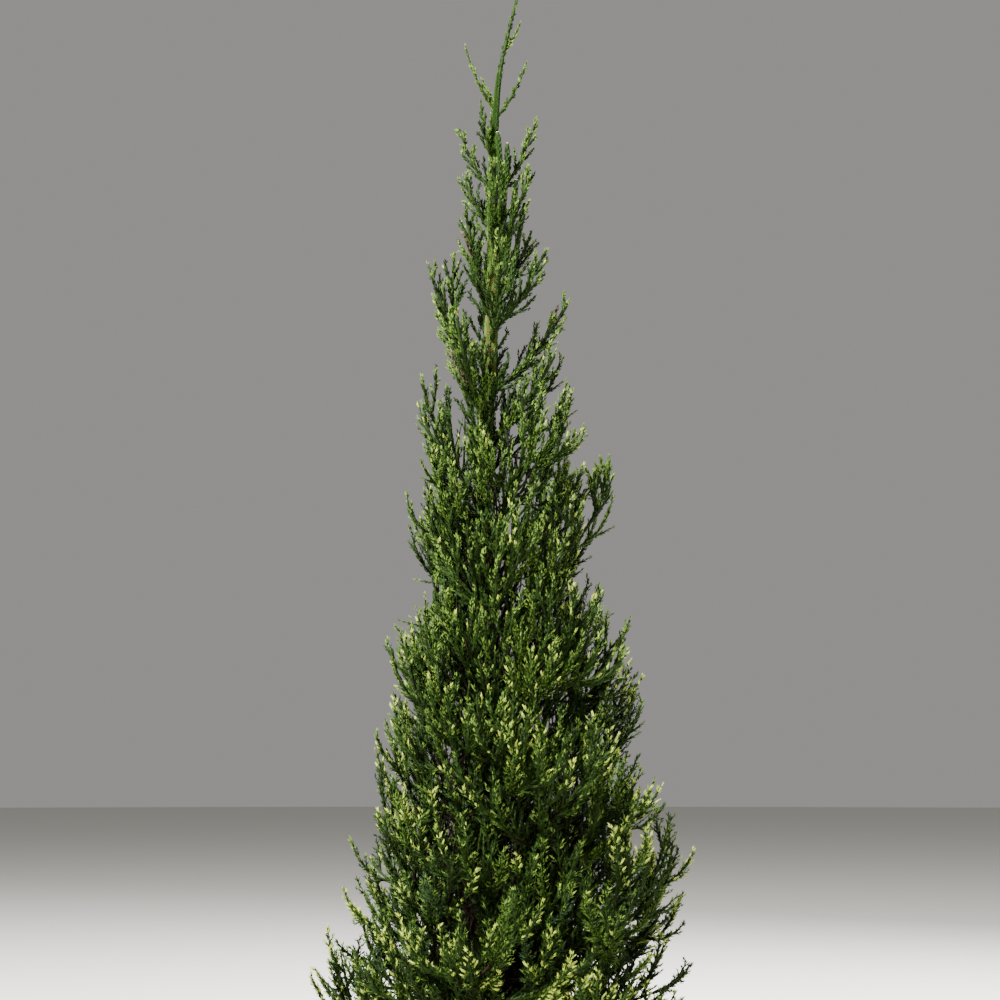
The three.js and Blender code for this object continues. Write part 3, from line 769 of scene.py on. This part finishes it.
def growthOn(table):  # the paler and the yellow end of each shoot, in millimetres from its tip
    mass, stem, place, height = table["mass"], table["stem"], table["place"], table["line"][:, 2, 2]
    fine = table.get("fine", place)
    isClump = dice(mass, stem, place, draws["newSpray"]) < valueAt(growth["clumps"], height)
    often = np.where(isClump, valueAt(growth["often"], height), growth["seldom"])
    often = often * np.minimum(1, growth["inward"] + growth["outward"] * table.get("share", 1))
    draw = dice(mass, stem, place, fine, draws["newShoot"])
    isNew = (draw < often) & (table["out"] > growth["outYellow"])
    isPaler = isNew | ((draw > 1 - valueAt(growth["paler"], height)) & (table["out"] > growth["out"]))
    length = between(growth["short"], growth["long"], mass, stem, fine, draws["newLength"])
    return np.where(isPaler, length, 0), np.where(isNew, growth["yellowPart"] * length, 0)


# Needles in spirals on stems, twigs and shoots
needle = {
    "length": [[0, 9.6], [650, 9.2], [1000, 8], [2200, 7]], "lengthDraw": (0.85, 1.15),
    "width": [[0, 3.2], [650, 3.3], [1000, 4], [1500, 4.1], [1900, 4], [2200, 3.4]],
    "widthDraw": (0.9, 1.1), "leaveDraw": 12,
    "leave": [[0, 31], [650, 28], [950, 22], [1500, 22], [1900, 21], [2200, 18]],
    "perMm": [[0, 0.3], [1000, 0.3], [1400, 0.31], [2200, 0.31]], "slimmer": 0.4, "sunk": 0.5,
    "stemFrom": (0.25, 0.02), "twigFrom": (0.15, 0.05), "shootFrom": (0.06, 0.06),  # dense part, open part
    "stemFoot": (0.6, 0.82), "twigFoot": 2.0, "finer": 0.9, "mostInPiece": 49000,
}
closing = {"back": 3.2, "turn": 40, "depth": 0.45, "length": 6.4, "width": 3.4, "leave": 4}
twigThick = [[0, 1.25], [700, 1.2], [1150, 1.1], [1750, 1.1], [2000, 0.95], [2200, 0.8]]
shootThick = [[0, 1.9], [800, 1.9], [1150, 2.0], [1750, 2.0], [2200, 1.6]]


def thickOn(table, stations):
    return valueAt(stations, table["line"][:, 0, 2])


def needlesOn(table, start, thick, yellow, fineness):
    count = np.round(table["length"] * (1 - start) * thickOn(table, needle["perMm"]))
    count = np.maximum(2, count).astype(int)
    owner, place = placesOn(count)
    share = start[owner] + (1 - start[owner]) * (place + 0.5) / count[owner]
    fromTip = (1 - share) * table["length"][owner]
    isYellow = fromTip < yellow[owner]
    lines, height = table["line"][owner], table["line"][owner, 0, 2]
    keys = [table[name][owner] for name in ("mass", "stem", "place", "fine") if name in table]
    keys += [place, draws["needle"]]
    slender = 1 - needle["slimmer"] * share ** 3
    size = slender * fineness * np.where(isYellow, growth["smaller"], 1)
    length = valueAt(needle["length"], height) * between(*needle["lengthDraw"], *keys) * size
    width = valueAt(needle["width"], height) * between(*needle["widthDraw"], *keys) * size
    leave = valueAt(needle["leave"], height) + needle["leaveDraw"] * (dice(*keys) - 0.5)
    leave = leave * slender * np.where(isYellow, growth["pressed"], 1)
    depth = thick[owner] * (1 - needle["sunk"] * share ** 2)
    around = place * goldenAngle + table["turn"][owner]
    return awls(lines, share, around, depth, length, width, leave), owner, fromTip


def closingNeedles(table, thick):  # one that shuts the end of each shoot
    share = np.maximum(0.5, 1 - closing["back"] / table["length"])
    return awls(table["line"], share, table["turn"] + closing["turn"], thick * closing["depth"],
                closing["length"], closing["width"], closing["leave"])


def addNeedles(store, table, start, thick, fineness):  # kept by region and shade
    region, shade = regionOf(table), shadeOf(table)
    paler, yellow = growthOn(table)
    spots, owner, fromTip = needlesOn(table, start, thick, yellow, fineness)
    isAlive = shade != shadeNumber["dead"]
    paler, yellow = paler * isAlive, yellow * isAlive
    spots = np.concatenate([spots, closingNeedles(table, thick)])
    owner = np.concatenate([owner, np.arange(len(shade))])
    fromTip = np.concatenate([fromTip, np.zeros(len(shade))])
    each = np.where(fromTip < paler[owner], shadeNumber["young"], shade[owner])
    each = np.where(fromTip < yellow[owner], shadeNumber["tips"], each)
    for r in range(len(regionNames)):
        for s in range(len(shades)):
            pick = (region[owner] == r) & (each == s)
            if pick.any():
                store.setdefault((r, s), []).append(spots[pick])


needleStore = {}
stemCount = len(stems["mass"])
stemsThemselves = dict(stems, place=np.full(stemCount, stemNumbers["itself"]), out=np.ones(stemCount))
stemFoot = stems["radius"] * np.where(stems["dense"], *needle["stemFoot"])
for table, (denseFrom, openFrom), foot, fineness in (
    (stemsThemselves, needle["stemFrom"], stemFoot, 1),
    (clothed, needle["twigFrom"], needle["twigFoot"] * thickOn(clothed, twigThick), 1),
    (shoots, needle["shootFrom"], thickOn(shoots, shootThick), needle["finer"]),
):
    addNeedles(needleStore, table, np.where(table["dense"], denseFrom, openFrom), foot, fineness)
total = 0
for (r, s), groups in sorted(needleStore.items()):
    spots = np.concatenate(groups)
    partCount = max(1, math.ceil(len(spots) / needle["mostInPiece"]))
    for part, some in enumerate(np.array_split(spots, partCount)):
        # the pieces named fresh hold the sunlit copy of needle green, painted sunlight; those named deep hold
        # the painted shade
        name = f"{regionNames[r]}_needles_{shades[s]}" + (f"_{part + 1}" if partCount > 1 else "")
        nodes = regions[regionNames[r]]
        total += addJoined(name, [(some, awlFaces)], greens[shades[s]], nodes, False)
print("needles", total)

# The new growth is a soft finger at the end of its shoot
finger = {"stout": 0.8, "foot": 1.2, "most": 0.95, "sides": 3, "segments": 3}
_, yellow = growthOn(shoots)
yellow = yellow * (shadeOf(shoots) != shadeNumber["dead"])
fingerStart = 1 - np.minimum(finger["most"], yellow / shoots["length"])
for r, regionName in enumerate(regionNames):
    pick = (regionOf(shoots) == r) & (yellow > 0)
    stout = finger["stout"] * thickOn(shoots, shootThick)[pick]
    group = tubes(partsOf(shoots["line"][pick], fingerStart[pick], 1), stout * finger["foot"], stout,
                  finger["sides"], finger["segments"])
    name = f"{regionName}_new_growth"
    total += addJoined(name, [group], greens["tips"], regions[regionName], True)
print("with new growth", total)

# Twigs: brown and bare inside the crown, green under their needles outside. The brown is near black, painted
# shade of the inner crown
twigPlan = {
    "brownTo": 0.36, "greenFrom": 0.32, "tip": 0.32, "openTip": 0.6, "under": 0.95, "bareFoot": 1.0,
    "barePerMm": 0.008, "bareTip": 0.6, "twigFoot": 2.6, "twigTip": 2.0, "shootFoot": 1.2,
    "longShoot": 26,
}


def twigsOf(r):  # the brown and the green tubes of one region: line, foot, tip, sides, segments
    own, clad, fine, dry = [chosen(table, regionOf(table) == r) for table in (stems, clothed, shoots, bare)]
    dense, loose = chosen(own, own["dense"]), chosen(own, ~own["dense"])
    middle = dense["radius"] * (1 + (twigPlan["tip"] - 1) * twigPlan["greenFrom"])
    dryFoot = twigPlan["bareFoot"] + twigPlan["barePerMm"] * dry["length"]
    stout = thickOn(clad, twigThick)
    brown = [
        (partsOf(dense["line"], 0, twigPlan["brownTo"]), dense["radius"], middle * twigPlan["under"], 6, 6),
        (dry["line"], dryFoot, twigPlan["bareTip"], 3, 2),
    ]
    green = [
        (partsOf(dense["line"], twigPlan["greenFrom"], 1), middle, dense["radius"] * twigPlan["tip"], 6, 9),
        (loose["line"], loose["radius"], loose["radius"] * twigPlan["openTip"], 6, 14),
        (clad["line"], twigPlan["twigFoot"] * stout, twigPlan["twigTip"] * stout, 3, 4),
    ]
    isLong = fine["length"] > twigPlan["longShoot"]
    for some, segments in ((chosen(fine, ~isLong), 1), (chosen(fine, isLong), 2)):
        stout = thickOn(some, shootThick)
        green.append((some["line"], twigPlan["shootFoot"] * stout, stout, 3, segments))
    return [[tubes(*row) for row in rows if len(row[0])] for rows in (brown, green)]


for r, regionName in enumerate(regionNames):
    brown, green = twigsOf(r)
    for kind, groups, material in (("brown_twigs", brown, shadedTwigBrown), ("green_shoots", green, twigGreen)):
        if groups:
            name = f"{regionName}_{kind}"
            total += addJoined(name, groups, material, regions[regionName], True)
print("with twigs", total)


# Trunk with the bark's relief: old wood low down is rougher
bark = {
    "sides": 64, "rings": 420, "flareLobes": 5, "flareDepth": 0.22, "flareHeight": 110, "oldTo": 1500,
    "relief": 1.5, "youngRelief": 0.25, "strip": 0.9, "stripAround": 5, "stripUp": 0.018, "fine": 0.55,
    "fineAround": 14, "fineUp": 0.05, "apart": 9, "sunk": 0.5,
}


def tubeShape(sides, rings):  # a closed unit tube from 0 to 1, with evenly spaced rings
    shape = bmesh.new()
    bmesh.ops.create_cone(shape, cap_ends=True, segments=sides, radius1=1, radius2=1, depth=1)
    bmesh.ops.translate(shape, verts=shape.verts, vec=(0, 0, 0.5))
    upright = [edge for edge in shape.edges if abs(edge.verts[0].co.z - edge.verts[1].co.z) > 0.5]
    bmesh.ops.subdivide_edges(shape, edges=upright, cuts=rings - 1, use_grid_fill=True)
    return shape


def addShape(shape, name, material, nodes, smooth=True):
    shape.normal_update()
    bmesh.ops.recalc_face_normals(shape, faces=shape.faces)  # outwards, after the points have moved
    mesh = bpy.data.meshes.new(name)
    shape.to_mesh(mesh)
    shape.free()
    addObject(name, mesh, material, nodes, smooth)


def reliefAt(angle, z):
    around = Vector((math.cos(angle), math.sin(angle), 0))
    old = max(0, 1 - z / bark["oldTo"])
    strip = noise.noise(around * bark["stripAround"] + Vector((0, 0, z * bark["stripUp"])))
    fine = noise.noise(around * bark["fineAround"] + Vector((0, 0, z * bark["fineUp"] + bark["apart"])))
    rough = bark["relief"] * (bark["youngRelief"] + (1 - bark["youngRelief"]) * old)
    return rough * (bark["strip"] * strip + bark["fine"] * fine - bark["sunk"])


trunkShape = tubeShape(bark["sides"], bark["rings"])
for vert in trunkShape.verts:
    z = vert.co.z * tree["trunkTop"]
    angle = math.atan2(vert.co.y, vert.co.x)
    fade = max(0, 1 - z / bark["flareHeight"]) ** 2
    lobe = 1 + bark["flareDepth"] * fade * (1 + math.cos(bark["flareLobes"] * angle))
    radius = float(valueAt(tree["radius"], z)) * lobe + reliefAt(angle, z)
    radius *= min(1, math.hypot(vert.co.x, vert.co.y))
    x, y, _ = trunkPoint(z)
    vert.co = Vector((x + math.cos(angle) * radius, y + math.sin(angle) * radius, z)) * metre
# the bark's browns are near black: reddish-brown bark with the inner crown's shade painted in
trunkBark = barkFinish("fibrous bark", "1a120c", "38261b", "2c3c15", 0.9, 1.3)
addShape(trunkShape, "trunk_bark", trunkBark, ["trunk"])
print("trunk done")

# The young upper trunk keeps its needles, pressed to it: olive low down, green above, some brown
pressed = {
    "from": 1120, "to": 2052, "count": 3900, "run": 20, "width": 4.5, "sunk": 0.4,
    "length": [[1120, 14], [1850, 12], [2052, 8]], "lengthDraw": (0.75, 1.25),
    "leave": [[1120, 13], [1850, 11], [2052, 6]], "leaveDraw": (0.5, 1.5),
    "brown": [[1120, 0.14], [1700, 0.1], [1850, 0]], "green": (1680, 1800),
}


def addPressedNeedles():
    place = np.arange(pressed["count"])
    share = (place + dice(place, draws["pressedFoot"])) / pressed["count"]
    feet = pressed["from"] + (pressed["to"] - pressed["from"]) * share
    lines = np.stack([trunkPoint(feet + step) for step in (-pressed["run"], 0, pressed["run"])], 1)
    leave = between(*pressed["leaveDraw"], place, draws["pressedLeave"])
    leave = leave * valueAt(pressed["leave"], feet)
    length = between(*pressed["lengthDraw"], place, draws["pressedLength"])
    length = length * valueAt(pressed["length"], feet)
    depth = valueAt(tree["radius"], feet) - pressed["sunk"]
    spots = awls(lines, 0.5, place * goldenAngle, depth, length, pressed["width"], leave)
    isBrown = dice(place, draws["pressedBrown"]) < valueAt(pressed["brown"], feet)
    isGreen = ~isBrown & (feet > between(*pressed["green"], place, draws["pressedGreen"]))
    olive = finish("trunk needle olive", "3b4e1d", 0.6, 0.1)
    brown = finish("brown needle base", "5c4026", 0.8, 0.1)
    for name, mask, material in (("trunk_olive_needles", ~isBrown & ~isGreen, olive),
                                 ("trunk_green_needles", isGreen, greens["mid"]),
                                 ("trunk_brown_needles", isBrown, brown)):
        addJoined(name, [(spots[mask], awlFaces)], material, ["trunk"], False)


addPressedNeedles()
print("pressed needles done")

# Pruned leaders: upright stubs beside the trunk, cut off square, with pale wood in the cut
stubs = [  # foot and top in the photograph's plane, then how near the viewer they stand
    {"foot": (4, 1795), "top": (-4, 1939), "front": 17, "radius": 3.8},
    {"foot": (4, 1765), "top": (14, 1920), "front": 9, "radius": 3.4},
    {"foot": (8, 1683), "top": (30, 1846), "front": 30, "radius": 3.8},
    {"foot": (14, 1640), "top": (45, 1809), "front": 6, "radius": 3.4},
]
stubPlan = {
    "sides": 12, "rings": 24, "footFront": 4, "bend": (2, -2, 0), "needles": 150, "cladTo": 0.93,
    "sunk": 0.3, "length": 8, "width": 3.4, "leave": (12, 22),
}
cut = {"lower": 0.9, "upper": 0.84, "thick": 1.1, "dome": 0.4, "sunk": 0.05}


def layOn(shape, line, radiusAt):  # a unit tube laid along a line
    for vert in shape.verts:
        share = vert.co.z
        angle = math.atan2(vert.co.y, vert.co.x)
        radius = radiusAt(share, angle) * min(1, math.hypot(vert.co.x, vert.co.y))
        _, across, side = framesOn(line[None], share)
        spot = pointOn(line, share) + radius * (across[0] * math.cos(angle) + side[0] * math.sin(angle))
        vert.co = spot * metre


def addStub(number, stub):
    name, nodes = f"pruned_stub_{number}", regions["spire"]
    foot = np.array([stub["foot"][0], -stubPlan["footFront"], stub["foot"][1]])
    top = np.array([stub["top"][0], -stub["front"], stub["top"][1]])
    line = np.array([foot, (foot + top) / 2 + np.array(stubPlan["bend"]), top])
    stem = tubeShape(stubPlan["sides"], stubPlan["rings"])
    layOn(stem, line, lambda share, angle: stub["radius"])
    addShape(stem, name, twigGreen, nodes)

    place = np.arange(stubPlan["needles"])
    share = (place + 0.5) / stubPlan["needles"] * stubPlan["cladTo"]
    leave = between(*stubPlan["leave"], place, number - 1, draws["stubNeedle"])
    spots = awls(np.repeat(line[None], len(place), 0), share, place * goldenAngle,
                 stub["radius"] - stubPlan["sunk"], stubPlan["length"], stubPlan["width"], leave)
    addJoined(f"{name}_needles", [(spots, awlFaces)], greens["mid"], nodes, False)

    disc = bmesh.new()  # the cut, a little domed on both sides
    bmesh.ops.create_cone(disc, cap_ends=True, cap_tris=True, segments=stubPlan["sides"],
                          radius1=cut["lower"], radius2=cut["upper"], depth=cut["thick"])
    along, across, side = [vectors[0] for vectors in framesOn(line[None], 1)]
    for vert in disc.verts:
        x, y, rise = vert.co
        if math.hypot(x, y) < cut["upper"] / 2:
            rise += math.copysign(cut["dome"], rise)
        vert.co = (top + along * (rise - cut["sunk"]) + stub["radius"] * (across * x + side * y)) * metre
    addShape(disc, f"{name}_cut", cutWood, nodes, False)


for i, stub in enumerate(stubs):
    addStub(i + 1, stub)
print("stubs done")

# Boughs, the bare inner parts of the lowest limbs
boughPlan = {"sides": 20, "rings": 60, "relief": 0.5, "around": 4, "along": 9, "apart": 7}
# the bough bark uses the same near-black browns: bark colour with the inner crown's shade painted in
boughBark = barkFinish("bough bark", "1c140c", "38281b", "3a4a1c", 3, 4)


def addBough(i, limb):
    def radiusAt(share, angle):
        around = (math.cos(angle) * boughPlan["around"], math.sin(angle) * boughPlan["around"])
        rough = noise.noise(Vector((*around, share * boughPlan["along"] + i * boughPlan["apart"])))
        return limb["radius"] * (1 + (bough["taper"] - 1) * share) + boughPlan["relief"] * rough

    shape = tubeShape(boughPlan["sides"], boughPlan["rings"])
    layOn(shape, limb["bough"], radiusAt)
    addShape(shape, f"bough_bark_{i + 1}", boughBark, [f"bough_{i + 1}"])


for i, limb in enumerate(denseLimbs):
    if limb["hasBough"]:
        addBough(i, limb)
print("boughs done")
